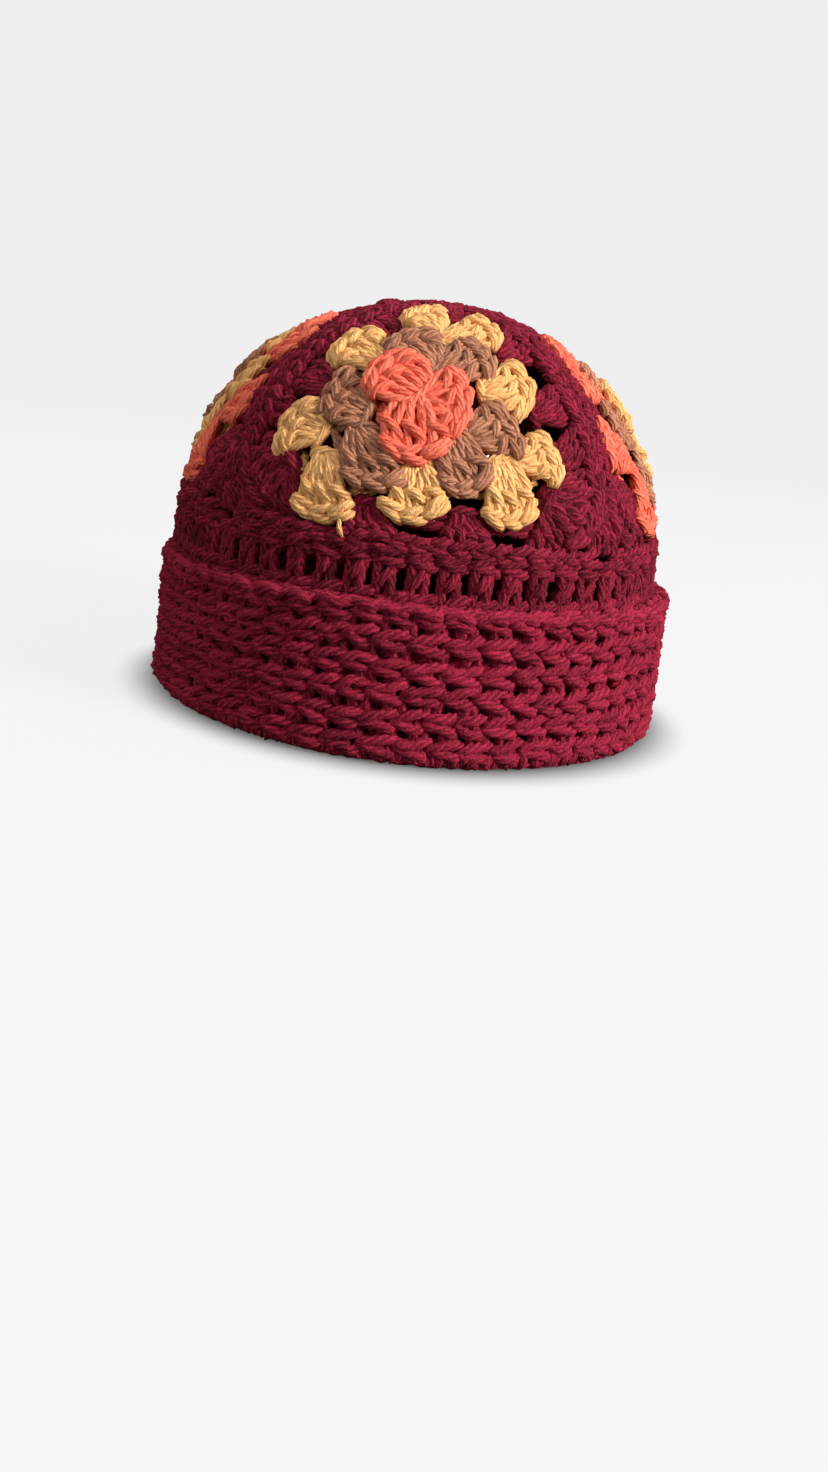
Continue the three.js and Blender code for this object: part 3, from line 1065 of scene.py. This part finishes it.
def backdrop_mesh():
    """A round floor that curves up into a wall on every side"""
    section = [(FLOOR_RADIUS, 0.0)]
    for i in range(1, BEND_STEPS + 1):
        a = math.pi / 2 * i / BEND_STEPS
        out = FLOOR_RADIUS + BEND_RADIUS * math.sin(a)
        section.append((out, BEND_RADIUS * (1 - math.cos(a))))
    section.append((FLOOR_RADIUS + BEND_RADIUS, WALL_TOP))
    ring = BACKDROP_SIDES
    verts = [(0.0, 0.0, 0.0)]
    for r, z in section:
        for k in range(ring):
            a = 2 * math.pi * k / ring
            verts.append((r * math.cos(a), r * math.sin(a), z))
    faces = [(0, 1 + k, 1 + (k + 1) % ring) for k in range(ring)]
    for level in range(len(section) - 1):
        low = 1 + level * ring
        high = low + ring
        for k in range(ring):
            after = (k + 1) % ring
            faces.append((low + k, high + k, high + after, low + after))
    mesh = bpy.data.meshes.new("backdrop")
    mesh.from_pydata(verts, [], faces)
    mesh.polygons.foreach_set("use_smooth", [True] * len(mesh.polygons))
    return mesh


def backdrop_material():
    """Grey for the light, with a pale glow for the camera outside the hat. Under the hat and round its
    foot the glow fades out, a painted shadow
    """
    material = bpy.data.materials.new("pale_backdrop")
    material.use_nodes = True
    nodes = material.node_tree.nodes
    links = material.node_tree.links
    shader = nodes["Principled BSDF"]
    shader.inputs["Base Color"].default_value = (BACKDROP_GREY, BACKDROP_GREY, BACKDROP_GREY, 1.0)
    shader.inputs["Roughness"].default_value = 0.9
    shader.inputs["Specular IOR Level"].default_value = 0.1
    glow = nodes.new("ShaderNodeEmission")
    seen = nodes.new("ShaderNodeLightPath")
    both = nodes.new("ShaderNodeAddShader")
    level = nodes.new("ShaderNodeMath")
    level.operation = "MULTIPLY"
    where = nodes.new("ShaderNodeTexCoord")
    reach = nodes.new("ShaderNodeVectorMath")
    reach.operation = "LENGTH"
    # Painted shadow: the glow is off under the hat and ramps up round its foot, a painted contact
    # shadow
    painted_shadow_mask = nodes.new("ShaderNodeMapRange")
    painted_shadow_mask.interpolation_type = "SMOOTHSTEP"
    painted_shadow_mask.inputs["From Min"].default_value = PAINTED_SHADOW_FULL_WITHIN
    painted_shadow_mask.inputs["From Max"].default_value = PAINTED_SHADOW_GONE_AT
    painted_shadow_mask.inputs["To Max"].default_value = GLOW
    links.new(where.outputs["Object"], reach.inputs[0])
    links.new(reach.outputs["Value"], painted_shadow_mask.inputs["Value"])
    links.new(seen.outputs["Is Camera Ray"], level.inputs[0])
    links.new(painted_shadow_mask.outputs["Result"], level.inputs[1])
    links.new(level.outputs[0], glow.inputs["Strength"])
    links.new(shader.outputs["BSDF"], both.inputs[0])
    links.new(glow.outputs["Emission"], both.inputs[1])
    links.new(both.outputs[0], nodes["Material Output"].inputs["Surface"])
    return material


floor_mesh = backdrop_mesh()
floor_mesh.materials.append(backdrop_material())
floor = bpy.data.objects.new("backdrop", floor_mesh)
bpy.context.scene.collection.objects.link(floor)

# Light: place, size and power of each lamp, all aimed at the hat's middle
LAMPS = {
    "key": ((1.6, -0.7, 0.82), 0.6, 54.0),
    "fill": ((-1.4, -1.5, 0.7), 1.4, 13.0),
    "top": ((0.3, 0.0, 1.9), 1.0, 9.0),
}
AIM = Vector((0.0, 0.0, 0.07))
WORLD_STRENGTH = 0.55
for name, (place, size, power) in LAMPS.items():
    light = bpy.data.lights.new(name, "AREA")
    light.size = size
    light.energy = power
    lamp = bpy.data.objects.new(name, light)
    lamp.location = place
    lamp.rotation_euler = (AIM - Vector(place)).to_track_quat("-Z", "Y").to_euler()
    bpy.context.scene.collection.objects.link(lamp)

world = bpy.data.worlds.new("studio")
world.use_nodes = True
world.node_tree.nodes["Background"].inputs["Color"].default_value = (1.0, 1.0, 1.0, 1.0)
world.node_tree.nodes["Background"].inputs["Strength"].default_value = WORLD_STRENGTH
bpy.context.scene.world = world
bpy.context.scene.view_settings.view_transform = "Standard"

# Camera of the photograph: its place, and its pitch, roll and turn in degrees,
# found from the hat's outline
IMAGE_HEIGHT = 1472
FOCAL_PIXELS = 1250.0
SENSOR = 36.0
CAMERA_PLACE = (0.014393, -0.484956, 0.12933)
CAMERA_ANGLES = (72.95066, -6.73048, 2.95412)
camera_data = bpy.data.cameras.new("camera")
camera_data.sensor_fit = "AUTO"
camera_data.sensor_width = SENSOR
camera_data.lens = FOCAL_PIXELS / IMAGE_HEIGHT * SENSOR
camera_data.clip_start = 0.01
camera_data.clip_end = 50.0
camera = bpy.data.objects.new("camera", camera_data)
camera.location = CAMERA_PLACE
camera.rotation_euler = [math.radians(angle) for angle in CAMERA_ANGLES]
bpy.context.scene.collection.objects.link(camera)
bpy.context.scene.camera = camera
